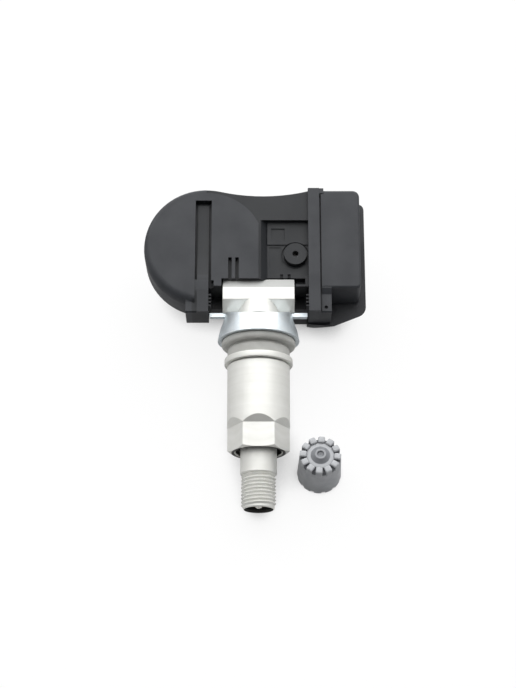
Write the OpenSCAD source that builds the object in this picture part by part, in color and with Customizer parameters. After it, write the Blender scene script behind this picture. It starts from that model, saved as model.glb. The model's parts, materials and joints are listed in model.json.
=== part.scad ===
// Clamp-in tyre pressure sensor, lying on a table with its valve cap taken off.
// The sensor is drawn in its own frame: X across, Y towards the back of the
// housing, Z up, the valve running along -Y from the pivot of its T-head.
// lay_down() then tips it onto its belly and its valve tip.

/* [Valve stem] */
// Length of the T-head across the cradle
head_len = 16.3; // [12:0.1:17]
// Distance across the flats of the eight-sided T-head
head_af = 8.4; // [6.5:0.1:8.6]
// Diameter of the plain end that carries the cap thread
tip_d = 7.7; // [7:0.05:8]
// Diameter of the plain shank between the nut and that thread
shank_d = 8.1; // [8.05:0.05:8.2]
// Diameter of the middle of the stem, under the nut
stem_d = 8.6; // [8.2:0.05:9]
// Distance from the pivot to the open end of the stem
stem_len = 49.2; // [46:0.1:54]
// Length of the thread at the open end
tip_thread_len = 7.6; // [5:0.1:9]
// Diameter of the bore that holds the valve core
core_bore_d = 5.3; // [4.8:0.05:5.6]
// Diameter of the air passage behind the core
air_bore_d = 2.5; // [1.5:0.1:3]
// Depth of the core bore from the open end
core_bore_depth = 20; // [19:0.5:24]

/* [Collar and grommet] */
// Distance from the pivot to the back face of the collar plate
collar_at = 4.1; // [4:0.05:5]
// Sheet thickness of the steel collar
collar_t = 1.1; // [0.8:0.05:1.4]
// Outer diameter of the cup of the collar
cup_d = 18; // [17:0.1:18.2]
// Outer radius of the shoulder between the plate and the cup
shoulder_r = 2; // [1.6:0.1:2.6]
// Outer diameter of the flared lip of the collar
lip_d = 18.5; // [18.4:0.1:20]
// Depth of the collar from plate to lip
collar_depth = 6.5; // [5.5:0.1:8]
// Height of the two side ears of the collar
ear_h = 2.2; // [1.6:0.1:4.4]
// Diameter of the sealing bead of the grommet
bead_d = 16.7; // [16.5:0.1:18]
// Thickness of the sealing bead
bead_t = 1.5; // [1.2:0.1:2.4]
// Diameter of the grommet neck that fills the rim hole
neck_d = 14; // [12:0.1:15.4]
// Length of the grommet neck
neck_len = 2.8; // [1.5:0.1:5]

/* [Nut and washer] */
// Diameter of the washer
washer_d = 15.8; // [14.5:0.1:17]
// Thickness of the washer
washer_t = 1.5; // [1:0.05:2.2]
// Diameter of the round body of the nut
nut_d = 14; // [13.9:0.05:14.6]
// Distance across the flats of the nut
nut_af = 12; // [11.5:0.05:12.5]
// Whole length of the nut
nut_len = 20.05; // [18:0.05:21]
// Length of the hexagon at the end of the nut
hex_len = 5.5; // [4:0.1:7]
// Length of the sloped shoulders that lead to the flats
shoulder_len = 1.6; // [1:0.1:2.5]
// Diameter of the counterbore at the end of the nut
counterbore_d = 10.2; // [9.4:0.1:10.8]
// Depth of the counterbore
counterbore_depth = 5; // [3:0.1:7]

/* [Housing] */
// Radius of the round lobe that holds the cell
lobe_r = 14.2; // [13.8:0.1:16]
// Distance of the lobe's centre to the left of the valve axis
lobe_x = 12; // [11.5:0.1:13]
// Distance of the lobe's centre behind the pivot
lobe_y = 11; // [10.6:0.1:11.6]
// Distance from the valve axis to the right side of the upper housing
block_x = 23.2; // [21.5:0.1:26]
// Distance from the pivot to the back edge of the right block
back_y = 25; // [24.6:0.1:27]
// Distance from the pivot to the front wall of the right block
block_front_y = 0.9; // [0:0.1:2]
// Dip of the back edge at the waist between the lobe and the right block
waist_dip = 1.3; // [0.9:0.05:1.8]
// Height of the top face over the valve axis
top_z = 4.5; // [4.3:0.05:5.5]
// Depth of the joint line under the valve axis
seam_z = 3.4; // [3.2:0.05:3.6]
// Rounding of the top edge at the front of the lobe
lobe_round = 2.4; // [1:0.1:2.6]
// Rounding of the top edge elsewhere
edge_round = 0.6; // [0.3:0.05:1]
// Wall thickness over the inside
wall = 1.6; // [1.2:0.05:1.8]
// Gap between the two arms
arm_gap = 22.7; // [22:0.1:24]
// Width of one arm
arm_w = 5.15; // [4:0.05:6]
// Reach of the arms in front of the pivot
arm_reach = 4.7; // [4:0.1:5.5]
// Forward lean of the front wall of the right block, from top to joint line
front_draft = 0.9; // [0:0.1:1.2]
// Width of the strap along each arm
strap_w = 2.6; // [2:0.1:3]
// Depth of the sunken well round the pressure port
well_depth = 2; // [1:0.1:2.2]
// How far the base stands out past the right side
base_step = 1.5; // [0.5:0.1:2]
// Radius of the front corner of the base
nose_r = 2.6; // [1.8:0.1:3.4]
// Slant of the front edge of the base beside that corner
nose_lean = 22; // [16:1:26]
// Radius of the curve under the belly
belly_r = 26; // [24:0.5:34]
// Lean of the base walls, as run over drop
base_lean = 0.42; // [0.3:0.01:0.5]
// Diameter of the pressure port
port_d = 1.4; // [0.8:0.1:1.8]

/* [Inside] */
// Diameter of the button cell
cell_d = 20; // [16:0.1:20.2]
// Thickness of the button cell
cell_t = 3.2; // [2:0.1:3.3]
// Thickness of the circuit board
board_t = 1; // [0.8:0.1:1.2]
// Height of the top of the board under the valve axis
board_z = 1.6; // [1.4:0.05:1.9]
// Side of the square sensor chip
chip_w = 4.4; // [3:0.1:5]
// Diameter of the core pin
pin_d = 1.5; // [0.9:0.05:1.6]
// Travel of the core pin
pin_travel = 1.2; // [0.8:0.1:1.4]
// Width of the radio antenna
antenna_w = 7; // [4:0.5:8]
// Length of the winding of the wake coil
coil_len = 5; // [3:0.5:6]
// Diameter of the winding of the wake coil
coil_d = 1.8; // [1:0.1:2]

/* [Cap] */
// Diameter of the cap at its open end
cap_d = 9.8; // [9.4:0.05:11]
// Diameter of the cap over its top pads
cap_top_d = 9.1; // [8.8:0.05:10]
// Height of the cap
cap_h = 9.5; // [9:0.1:12]
// Number of pads round the top of the cap
cap_pads = 12; // [8:1:16]
// Width of the slots between the pads
cap_slot_w = 0.55; // [0.4:0.05:0.8]
// Height of the pads
cap_pad_h = 0.45; // [0.3:0.05:0.8]
// Depth of the threaded hole in the cap
cap_hole_depth = 7; // [5:0.1:7.5]
// Distance from the cap to the valve axis
cap_x = 13.5; // [13:0.1:20]
// Distance of the cap in front of the pivot
cap_y = 37.6; // [30:0.1:45]

/* [Rest and clearances] */
// Lean of the valve axis where the sensor lies on a table
lay_angle = 12; // [8:0.5:14]
// Distance of the belly's lowest line behind the pivot
rest_y = 3; // [2:0.1:6]
// Running clearance on a radius
run_gap = 0.05; // [0.03:0.01:0.08]
// Clearance between loose parts
loose_gap = 0.25; // [0.15:0.01:0.35]

/* [Hidden] */
$fn = 96;
eps = 0.01;
big = 60;

// Stations along the valve, measured from the pivot towards the tip
plate_face = collar_at + collar_t;
lip_face = collar_at + collar_depth;
bead_face = lip_face + bead_t;
neck_face = bead_face + neck_len;
washer_face = neck_face + washer_t;
nut_end = washer_face + nut_len;
hex_at = nut_end - hex_len;
counterbore_at = nut_end - counterbore_depth;
stem_step = counterbore_at - 1;
tip_chamfer = 0.5;
thread_at = stem_len - tip_thread_len;

// Valve core inside the stem
core_bore_at = stem_len - core_bore_depth;
pin_low = core_bore_at + pin_travel + 0.2;
plunger_low = pin_low + 0.4;
barrel_low = plunger_low + 1.4;
barrel_top = stem_len - 1;
spring_seat = barrel_top - 5.6;
pin_top = stem_len - 0.35;
pin_collar = pin_top - 1.1;

// Neck of the T-head
head_r = head_af / 2 / cos(22.5);
neck_lean = 0.547;
neck_r = 6.05;

// Cradle and gap of the housing
cradle_r = head_r + 0.12;
cradle_half = head_len / 2 + loose_gap;
mouth_y = 3.2;
front_corner_r = 1;
relief_r = 5.3;
relief_half = neck_r - 0.45;
arm_x = arm_gap / 2;
arm_top = top_z - 0.8;
strap_x = arm_x + strap_w;
ear_x = arm_x - 0.2;
void_back = 1.4;
notch_y = -1.4;

// Lower curve of the belly and the lift that sets everything on the table
rest_t = stem_len - tip_chamfer;
lift = rest_t * sin(lay_angle) + tip_d / 2 * cos(lay_angle);
belly_y = rest_y + belly_r * sin(lay_angle);
belly_z = (belly_r - lift - belly_y * sin(lay_angle)) / cos(lay_angle);
belly_low = belly_z - belly_r;

// Outline of the housing
waist_x = 1;
waist_y = min(lobe_y + lobe_r, back_y) - waist_dip;
waist_drop = waist_y - lobe_y;
waist_r = (pow(waist_x + lobe_x, 2) + pow(waist_drop, 2) - pow(lobe_r, 2))
    / (2 * (lobe_r - waist_drop));
waist_cy = waist_y + waist_r;
waist_a = atan2(waist_cy - lobe_y, waist_x + lobe_x);
corner_r = 1.5;
base_x = block_x + base_step;
nose_y = -0.8;
nose_run = 7.4;
nose_shift = tan((90 - nose_lean) / 2);
nose_low = nose_y - nose_r * cos(nose_lean) - (nose_run - nose_r + nose_r * sin(nose_lean)) * tan(nose_lean);

// Inner levels
band_z = top_z - 0.5;
well_z = top_z - well_depth;
roof_z = well_z - wall;
cell_floor = cell_t + 6.2;
cell_r = cell_d / 2;
tab_t = 0.2;
board_low = -board_z - board_t;
port_x = 8.4;
port_y = 9.5;
boss_r = 2.6;
boss_z = well_z + 1.3;
well_y = waist_y - 6;
panel_y = 12.1;
panel_z = well_z + 0.3;
pocket_y = 3.9;
channel_z = top_z - 1.8;
plateau_r = lobe_r - 0.9;
slots_x = [-6.9, -5.3];
slot_w = 0.8;
marks_x = [4.9, 6.6];
mark_w = 0.7;
place_x = 2.4;
place_w = 2.8;
place_y = 6.7;
place_len = 4.8;
panel_hole = [2.9, 6, panel_y + 1.2, panel_y + 4];
arm_groove_w = 0.35;
arm_hole_d = 0.8;

// Edges of the board and of the space round it
space_r = lobe_r - lobe_round;
space_x = block_x - wall;
space_y = back_y - 2.2 - wall;
board_gap = 1.2;
front_wall_y = cradle_r + wall;

// Three posts that carry the board
post_r = 1.1;
post_x = space_x - 4.6;
post_y = space_y - 3.2;
posts = [[post_x, post_y - 9], [post_x, post_y], [waist_x + 2, post_y]];

// Middle of the laid-down part's bounding box, which the origin lies under
front_edge = -stem_len * cos(lay_angle) - (tip_d / 2 - tip_chamfer) * sin(lay_angle);
back_edge = (lobe_y + lobe_r) * cos(lay_angle) + seam_z * sin(lay_angle);
centre_x = (base_x - lobe_x - lobe_r) / 2;
centre_y = (front_edge + back_edge) / 2;

// Rubber liner held in a groove at the end of the cap's thread
liner_t = 0.9;
liner_r = tip_d / 2 + run_gap + 0.3;
cap_turn = -5;

function arc(cx, cy, r, a0, a1, n) =
    [for (i = [0:n]) let (a = a0 + (a1 - a0) * i / n) [cx + r * cos(a), cy + r * sin(a)]];

// Back edge: from the right corner over the waist to the lobe, and round it
function back_and_lobe(right_x, corner, inset) =
    let (b = back_y - inset,
         wr = waist_r + inset,
         x0 = waist_x + sqrt(wr * wr - pow(waist_cy - b, 2)),
         a0 = atan2(b - waist_cy, x0 - waist_x) + 360)
    concat(
        arc(right_x - corner, b - corner, corner, 0, 90, 4),
        arc(waist_x, waist_cy, wr, a0, waist_a + 180, 10),
        arc(-lobe_x, lobe_y, lobe_r - inset, waist_a + 5, 270, 39));

function top_outline() = concat(
    [[0, block_front_y]],
    arc(block_x - front_corner_r, block_front_y + front_corner_r, front_corner_r, -90, 0, 4),
    back_and_lobe(block_x, corner_r, 0),
    [[0, lobe_y - lobe_r]]);

// The corner of an inset outline slips along once its radius is used up
function base_outline(inset) =
    let (least_r = 0.3, slip = max(0, inset + least_r - nose_r))
    concat(
        [[base_x - nose_run - inset, nose_low + nose_shift * inset]],
        arc(base_x - nose_r - slip, nose_y + nose_shift * slip, max(nose_r - inset, least_r),
            nose_lean - 90, 0, 8),
        back_and_lobe(base_x - inset, max(corner_r - inset, least_r), inset));

// Outward normal of a closed outline at one of its points
function normal_at(p, i) =
    let (n = len(p), d = p[(i + 1) % n] - p[(i + n - 1) % n]) [d[1], -d[0]] / norm(d);

function lobe_share(p) = max(0, min(1, (-lobe_x - p[0]) / 6 + 0.4)) * (p[0] < 0 ? 1 : 0);

// Closed solid through rings of equally many points, listed from the bottom up
module loft(rings) {
    n = len(rings[0]);
    m = len(rings);
    points = [for (ring = rings) each ring];
    sides = [for (k = [0:m - 2], i = [0:n - 1]) let (j = (i + 1) % n)
        each [[k * n + i, (k + 1) * n + j, k * n + j],
              [k * n + i, (k + 1) * n + i, (k + 1) * n + j]]];
    floor_face = [for (i = [0:n - 1]) i];
    roof_face = [for (i = [0:n - 1]) (m - 1) * n + (n - i) % n];
    polyhedron(points, concat(sides, [floor_face, roof_face]), convexity = 6);
}

module lay_down() {
    translate([-centre_x, -centre_y, lift]) rotate([lay_angle, 0, 0]) children();
}

// Local Z runs along the valve towards its tip, local Y points up
module along_valve() {
    rotate([90, 0, 0]) children();
}

module turned(profile) {
    along_valve() rotate_extrude() polygon(profile);
}

module across(r, half) {
    rotate([0, 90, 0]) cylinder(r = r, h = 2 * half, center = true);
}

module block(x0, x1, y0, y1, z0, z1) {
    translate([x0, y0, z0]) cube([x1 - x0, y1 - y0, z1 - z0]);
}

module both_sides() {
    children();
    mirror([1, 0, 0]) children();
}

// Space of the T-head, its neck and the collar between the arms
module cradle_space() {
    across(cradle_r, cradle_half);
    block(-relief_half, relief_half, notch_y - 1, 0.5, -relief_r, relief_r);
    block(-cradle_half, cradle_half, -cradle_r, mouth_y, 0, top_z + 1);
    block(-arm_x, arm_x, -big, notch_y, -big, top_z + 1);
}

// Space of the circuit board and what stands on it, at one level range
module board_space(z0, z1, r, x1, y0, y1) {
    difference() {
        union() {
            translate([-lobe_x, lobe_y, z0]) cylinder(r = r, h = z1 - z0);
            block(-lobe_x, x1, y0, y1, z0, z1);
        }
        block(-arm_x - wall, x1 + 1, -big, y0, z0 - 1, z1 + 1);
    }
}

module housing_shell() {
    outline = top_outline();
    n = len(outline);
    rounding = [for (i = [0:n - 1]) edge_round + (lobe_round - edge_round)
        * lobe_share(outline[i]) * (1 - normal_at(outline, i)[1]) / 2];
    front = [for (p = outline) p[0] >= 0 && p[1] > 0 && p[1] < block_front_y + corner_r ? front_draft : 0];
    straight = [for (i = [0:n - 1]) [outline[i][0], outline[i][1] - front[i], -seam_z]];
    rounded = [for (a = [0:18:90]) [for (i = [0:n - 1])
        let (s = normal_at(outline, i) * rounding[i] * (1 - cos(a)))
        [outline[i][0] - s[0], outline[i][1] - s[1], top_z - rounding[i] * (1 - sin(a))]]];
    loft(concat([straight], rounded));
}

// Solid with a side outline of Y and Z, between two places across
module side_shape(x0, x1, outline) {
    translate([x1, 0, 0]) rotate([90, 0, -90]) linear_extrude(height = x1 - x0)
        polygon([for (p = outline) [-p[0], p[1]]]);
}

// One arm on the right: sloped body and locking ridges
module arm(slope_end) {
    side_shape(arm_x, arm_x + arm_w, [[-arm_reach, -seam_z], [-arm_reach, arm_top - 0.3],
        [-arm_reach + 0.3, arm_top], [slope_end, arm_top], [block_front_y, top_z - 0.1],
        [block_front_y + 2, top_z - 0.1], [block_front_y + 2, -seam_z]]);
    for (t = [0.2:0.85:3])
        block(arm_x - 0.6, arm_x + 0.5, -t - 0.4, -t, -2.4, 3.4);
}

// Well round the pressure port, with a sloped left side, and its pockets
module well() {
    hull() {
        block(well_depth, arm_x, void_back, well_y, well_z, well_z + eps);
        block(0, arm_x, void_back, well_y, top_z, top_z + 1);
    }
}

module housing_cuts() {
    cradle_space();
    block(-arm_x, arm_x, -big, void_back, -seam_z - 1, top_z + 1);
    // Lower band at the back, beside the plateau of the lobe
    difference() {
        block(-lobe_x, arm_x, void_back, back_y + 1, band_z, top_z + 1);
        block(-lobe_x, 0, 0, lobe_y + 5, 0, big);
        intersection() {
            translate([-lobe_x, lobe_y, 0]) cylinder(r = plateau_r, h = big);
            block(-big, 0, -big, big, 0, big);
        }
    }
    difference() {
        well();
        block(cradle_half, arm_x, 0, pocket_y, 0, band_z);
    }
    block(cradle_half - 0.1, arm_x - loose_gap * 3, void_back + 0.5, pocket_y + eps, 0.6, top_z + 1);
    // Channel for the left strap, and a small notch beside it
    block(-strap_x - 0.5, -arm_x + 0.6, -big, back_y - 2.6, channel_z, top_z + 1);
    block(-arm_x - 0.1, -arm_x + 1.2, 0, 2.7, band_z - 1, top_z + 1);
    // Double slot beside the T-head
    for (x = slots_x)
        block(x, x + slot_w, mouth_y - 0.2, mouth_y + 5.1, top_z - 1.2, top_z + 1);
    // Two marks at the front of the well
    for (x = marks_x)
        block(x, x + mark_w, mouth_y - 0.2, pocket_y + 1, well_z - 0.5, top_z);
    // Round end of the step on the right arm
    translate([strap_x + 1.5, 0.6, arm_top]) cylinder(r = 0.8, h = 2);
}

// What stands on the cut shell: arms, straps, port boss and panel
module housing_raised() {
    arm(-0.4);
    mirror([1, 0, 0]) arm(-2.4);
    block(arm_x, strap_x, -arm_reach, back_y + 0.4, top_z - 2, top_z + 0.4);
    block(strap_x - eps, strap_x + 1, back_y - 0.8, back_y + 0.4, top_z - 2, top_z + 0.2);
    side_shape(-strap_x, -arm_x, [[-arm_reach, channel_z - 1], [-arm_reach, top_z - 0.2],
        [4, top_z - 0.2], [9.8, top_z - 1.2], [back_y - 3.4, top_z - 1.2], [back_y - 3.4, channel_z - 1]]);
    translate([port_x, port_y, roof_z]) cylinder(r = boss_r, h = boss_z - roof_z);
    difference() {
        block(well_depth, arm_x, panel_y, well_y, roof_z, panel_z);
        block(panel_hole[0], panel_hole[1], panel_hole[2], panel_hole[3], panel_z - 0.4, panel_z + 1);
    }
}

module housing() {
    color([0.28, 0.29, 0.31])
    lay_down() difference() {
        union() {
            difference() {
                housing_shell();
                housing_cuts();
            }
            housing_raised();
        }
        // Narrow gap beside the right strap, and a blind hole in the arm
        block(strap_x, strap_x + arm_groove_w, -big, back_y - 1, arm_top - 0.4, top_z + 1);
        translate([strap_x + 1.3, 1.2 - arm_reach, arm_top - 0.8]) cylinder(d = arm_hole_d, h = 2);
        // Shallow bare place, port, its filter seat and the groove round the boss
        block(place_x, place_x + place_w, place_y, place_y + place_len, well_z - 0.15, top_z);
        translate([port_x, port_y, 0]) cylinder(d = port_d, h = big);
        translate([port_x, port_y, 0]) cylinder(r = port_d / 2 + 0.45, h = roof_z + 0.6);
        difference() {
            translate([port_x, port_y, well_z - 0.5]) cylinder(r = boss_r + 0.6, h = 1);
            translate([port_x, port_y, 0]) cylinder(r = boss_r, h = big);
            block(arm_x, big, -big, big, 0, big);
        }
        board_space(-seam_z - 1, roof_z, space_r, space_x, front_wall_y, space_y);
    }
}

module base() {
    deepest = -belly_low - seam_z + 1;
    rings = [for (d = [deepest:-deepest / 7:-0.1])
        let (inset = base_lean * d + 0.0053 * d * d)
        [for (p = base_outline(inset)) [p[0], p[1], -seam_z - d]]];
    above = [for (p = rings[7]) [p[0], p[1], 1]];
    color([0.2, 0.21, 0.22])
    lay_down() difference() {
        intersection() {
            loft(concat(rings, [above]));
            block(-big, big, -big, big, -big, -seam_z);
            translate([0, belly_y, belly_z]) across(belly_r, big);
        }
        cradle_space();
        difference() {
            board_space(-cell_floor, -seam_z + eps, cell_r + loose_gap, base_x - 4.2,
                front_wall_y, space_y - 0.4);
            for (p = posts)
                translate([p[0], p[1], -big]) cylinder(r = post_r, h = big);
        }
        translate([-lobe_x, lobe_y, -cell_floor]) cylinder(r = cell_r + loose_gap, h = cell_t + 0.45);
    }
    color([0.2, 0.21, 0.22])
    lay_down() for (p = posts)
        translate([p[0], p[1], -cell_floor - 0.2]) cylinder(r = post_r, h = cell_floor + 0.2 + board_low);
}

module circuit_board() {
    color([0.1, 0.35, 0.2])
    lay_down() board_space(board_low, -board_z, space_r - board_gap, space_x - board_gap,
        front_wall_y + 0.5, space_y - 1);
}

module button_cell() {
    color([0.78, 0.79, 0.8])
    lay_down() translate([-lobe_x, lobe_y, -cell_floor + tab_t]) {
        cylinder(r = cell_r - 1.2, h = cell_t);
        translate([0, 0, 0.3]) cylinder(r = cell_r, h = cell_t - 0.3);
    }
}

module cell_tab_lower() {
    x1 = -lobe_x + cell_r + 1.2;
    color([0.85, 0.8, 0.6])
    lay_down() {
        block(-lobe_x, x1, lobe_y - 2, lobe_y + 2, -cell_floor, -cell_floor + tab_t);
        block(x1 - tab_t, x1, lobe_y - 2, lobe_y + 2, -cell_floor, board_low);
    }
}

module cell_tab_upper() {
    z0 = -cell_floor + tab_t + cell_t;
    color([0.85, 0.8, 0.6])
    lay_down() {
        block(-lobe_x - 4, -lobe_x + 5, lobe_y - 2, lobe_y + 2, z0, z0 + tab_t);
        block(-lobe_x - 4, -lobe_x - 4 + tab_t, lobe_y - 2, lobe_y + 2, z0, board_low);
    }
}

module sensor_chip() {
    color([0.15, 0.15, 0.16])
    lay_down() block(port_x - chip_w / 2, port_x + chip_w / 2, port_y - chip_w / 2 + 0.6,
        port_y + chip_w / 2 + 0.6, -board_z, -board_z + 1);
}

module port_seal() {
    color([0.75, 0.3, 0.2])
    lay_down() translate([port_x, port_y, -board_z + 1]) difference() {
        cylinder(r = port_d / 2 + 0.9, h = roof_z + board_z - 1);
        translate([0, 0, -eps]) cylinder(d = port_d, h = big);
    }
}

module port_filter() {
    color([0.95, 0.95, 0.95])
    lay_down() translate([port_x, port_y, roof_z + 0.35]) cylinder(r = port_d / 2 + 0.4, h = 0.25);
}

module radio_antenna() {
    t = 0.4;
    x1 = space_x - board_gap - 1.4;
    x0 = x1 - antenna_w;
    y0 = (posts[0][1] + posts[1][1]) / 2 - 0.7;
    y1 = y0 + 1.4;
    z1 = roof_z - 0.4;
    color([0.85, 0.75, 0.4])
    lay_down() {
        block(x0, x0 + t, y0, y1, -board_z, z1);
        block(x1 - t, x1, y0, y1, -board_z, z1);
        block(x0, x1, y0, y1, z1 - t, z1);
    }
}

module wake_coil() {
    flange_r = coil_d / 2 + 0.2;
    flange_t = 1.2;
    color([0.55, 0.3, 0.15])
    lay_down() translate([0, space_y - 2.6, -board_z + flange_r]) {
        across(coil_d / 2, coil_len / 2);
        both_sides() block(coil_len / 2, coil_len / 2 + flange_t, -flange_r, flange_r, -flange_r, flange_r);
    }
}

module valve_stem() {
    tip_r = tip_d / 2;
    half = head_af / 2;
    neck_root = 0.3;
    neck_start = collar_at - (neck_r - half + neck_root) / neck_lean;
    color([0.8, 0.8, 0.79])
    lay_down() difference() {
        union() {
            // T-head, its front kept clear of the collar
            intersection() {
                rotate([22.5, 0, 0]) rotate([0, 90, 0])
                    cylinder(r = head_r, h = head_len, center = true, $fn = 8);
                block(-big, big, run_gap - collar_at, big, -big, big);
            }
            // Flared neck, milled flush with the top and the bottom of the T-head
            intersection() {
                turned([[0, neck_start], [half - neck_root, neck_start], [neck_r, collar_at], [0, collar_at]]);
                block(-big, big, -big, big, -half, half);
            }
            turned([[0, collar_at], [stem_d / 2, collar_at], [stem_d / 2, stem_step],
                [shank_d / 2, stem_step + 0.6],
                [shank_d / 2, thread_at - 0.2], [tip_r, thread_at],
                [tip_r, stem_len - tip_chamfer], [tip_r - tip_chamfer, stem_len], [0, stem_len]]);
        }
        along_valve() {
            translate([0, 0, -head_af]) cylinder(d = air_bore_d, h = stem_len);
            translate([0, 0, core_bore_at]) cylinder(d = core_bore_d, h = stem_len);
            translate([0, 0, stem_len - 0.5])
                cylinder(r1 = core_bore_d / 2, r2 = core_bore_d / 2 + 0.3, h = 0.5 + eps);
        }
    }
}

// Quarter round from the plate to the wall of the collar, at a depth under its skin
function shoulder(depth) = arc(cup_d / 2 - shoulder_r, collar_at + shoulder_r, shoulder_r - depth, -90, 0, 6);

module collar() {
    hole_r = stem_d / 2;
    cup_r = cup_d / 2;
    lip_r = lip_d / 2;
    flare_at = lip_face - 1.4;
    color([0.72, 0.76, 0.78])
    lay_down() {
        turned(concat([[hole_r, collar_at]], shoulder(0),
            [[cup_r, flare_at], [lip_r, lip_face], [lip_r - collar_t, lip_face],
                [cup_r - collar_t, flare_at]],
            [for (i = [6:-1:0]) shoulder(collar_t)[i]], [[hole_r, plate_face]]));
        difference() {
            block(-ear_x, ear_x, -plate_face, -collar_at, -ear_h / 2, ear_h / 2);
            along_valve() cylinder(r = cup_r - shoulder_r - 0.5, h = big);
            // Serrated ends of the ears
            both_sides() for (z = [-ear_h / 2:0.55:ear_h / 2])
                translate([ear_x, -collar_at - collar_t / 2, z]) rotate([0, 45, 0])
                    cube([0.3, collar_t + 1, 0.3], center = true);
        }
    }
}

module grommet() {
    stem_r = stem_d / 2;
    cup_r = cup_d / 2 - collar_t;
    bead_r = bead_d / 2;
    root_r = neck_d / 2;
    round_r = bead_t / 2;
    bead_arc = [for (a = [0:18:90]) [bead_r - round_r + round_r * cos(a),
        bead_face - round_r + round_r * sin(a)]];
    color([0.66, 0.67, 0.66])
    lay_down() turned(concat([[stem_r, plate_face]], shoulder(collar_t),
        [[cup_r, lip_face - 1.4], [lip_d / 2 - collar_t, lip_face]], bead_arc,
        [[root_r - 0.4, bead_face - 0.1], [root_r - 0.4, bead_face + 0.3],
            [root_r, bead_face + 0.4], [root_r, neck_face], [stem_r, neck_face]]));
}

module washer() {
    r = washer_d / 2;
    c = 0.25;
    color([0.8, 0.8, 0.79])
    lay_down() turned([[stem_d / 2 + run_gap * 2, neck_face], [r - c, neck_face], [r, neck_face + c],
        [r, washer_face - c], [r - c, washer_face], [stem_d / 2 + run_gap * 2, washer_face]]);
}

module sleeve_nut() {
    r = nut_d / 2;
    bore_r = stem_d / 2 + run_gap;
    flat = nut_af / 2;
    end_chamfer = 0.45;
    color([0.8, 0.8, 0.79])
    lay_down() difference() {
        turned([[bore_r, washer_face], [r - 0.3, washer_face], [r, washer_face + 0.3],
            [r, nut_end - end_chamfer], [flat, nut_end], [counterbore_d / 2 + 0.25, nut_end],
            [counterbore_d / 2, nut_end - 0.25], [counterbore_d / 2, counterbore_at],
            [bore_r, counterbore_at]]);
        // Six flats, each led in by a sloped shoulder
        for (k = [0:5])
            rotate([0, 60 * k, 0]) rotate([0, -90, 0]) linear_extrude(height = 2 * r, center = true)
                polygon([[r, -hex_at + shoulder_len], [flat, -hex_at], [flat, -nut_end - 1],
                    [r + 2, -nut_end - 1], [r + 2, -hex_at + shoulder_len]]);
    }
}

module core_barrel() {
    r = core_bore_d / 2;
    hole_r = pin_d / 2 + 0.25;
    low = barrel_low;
    top = barrel_top;
    color([0.8, 0.68, 0.35])
    lay_down() turned([[hole_r, low], [r - 0.7, low], [r - 0.7, low + 5], [r - 0.2, low + 5.5],
        [r - 0.2, low + 7.5], [r, low + 8], [r, top - 1], [r - 0.6, top - 0.6], [r - 0.6, top],
        [r - 1.1, top], [r - 1.1, spring_seat], [hole_r, spring_seat]]);
}

module core_seal() {
    r = core_bore_d / 2;
    low = barrel_low + 1.5;
    color([0.9, 0.9, 0.88])
    lay_down() turned([[r - 0.7, low], [r, low + 0.5], [r, low + 2.5], [r - 0.7, low + 3]]);
}

module core_spring() {
    turns = 6;
    wire = 0.15;
    coil_r = pin_d / 2 + 0.4;
    z0 = spring_seat + wire;
    z1 = pin_collar - wire;
    steps = 12 * turns;
    rings = [for (i = [0:steps]) let (a = 360 * turns * i / steps, z = z0 + (z1 - z0) * i / steps)
        [for (k = [0:5]) let (q = 60 * k, s = coil_r + wire * cos(q))
            [s * cos(a), s * sin(a), z - wire * sin(q)]]];
    color([0.75, 0.75, 0.75])
    lay_down() along_valve() loft(rings);
}

module core_pin() {
    r = pin_d / 2;
    color([0.85, 0.78, 0.5])
    lay_down() turned([[0, pin_low], [r, pin_low], [r, pin_collar], [r + 0.5, pin_collar],
        [r + 0.5, pin_collar + 0.4], [r, pin_collar + 0.5], [r, pin_top - 0.2],
        [r - 0.3, pin_top], [0, pin_top]]);
}

module core_plunger() {
    r = core_bore_d / 2 - 0.8;
    color([0.15, 0.15, 0.15])
    lay_down() turned([[pin_d / 2, plunger_low], [r, plunger_low], [r, barrel_low],
        [pin_d / 2, barrel_low]]);
}

module beside_tip() {
    translate([cap_x - centre_x, -cap_y - centre_y, 0]) children();
}

module valve_cap() {
    r = cap_d / 2;
    top_r = cap_top_d / 2;
    hole_r = tip_d / 2 + run_gap;
    liner_z = cap_hole_depth - liner_t;
    floor_z = cap_h - cap_pad_h;
    ring_r = top_r - 1.5;
    slot_r = top_r - 0.5;
    pad_w = 2 * PI * (top_r - 0.75) / cap_pads - cap_slot_w;
    pad_r = top_r - pad_w / 2;
    pitch = 360 / cap_pads;
    notch_w = cap_slot_w + 0.35;
    color([0.55, 0.56, 0.57])
    beside_tip() rotate([0, 0, cap_turn]) {
        difference() {
            rotate_extrude() polygon([[hole_r, 0], [r - 0.5, 0], [r - 0.1, 0.35], [r, 0.9],
                [top_r, cap_h - 2], [slot_r, floor_z], [0, floor_z], [0, cap_hole_depth],
                [liner_r, cap_hole_depth], [liner_r, liner_z], [hole_r, liner_z]]);
            // Small notches round the open end, one under each slot
            for (k = [0:cap_pads - 1])
                rotate([0, 0, pitch * (k + 0.5)])
                    translate([r - 0.35, -notch_w / 2, -eps]) cube([1, notch_w, 0.6]);
        }
        for (k = [0:cap_pads - 1])
            rotate([0, 0, pitch * k]) translate([0, 0, cap_h - 2]) linear_extrude(height = 2) {
                translate([pad_r, 0]) circle(d = pad_w, $fn = 24);
                translate([ring_r, -pad_w / 2]) square([pad_r - ring_r, pad_w]);
            }
        translate([0, 0, floor_z - eps]) difference() {
            cylinder(r1 = 2, r2 = 1.2, h = 0.8);
            translate([0, 0, 0.55]) cylinder(r = 0.8, h = 1);
        }
    }
}

module cap_liner() {
    color([0.2, 0.2, 0.2])
    beside_tip() translate([0, 0, cap_hole_depth - liner_t]) difference() {
        cylinder(r = liner_r, h = liner_t);
        translate([0, 0, -eps]) cylinder(r = core_bore_d / 2 - 0.4, h = big);
    }
}

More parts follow.
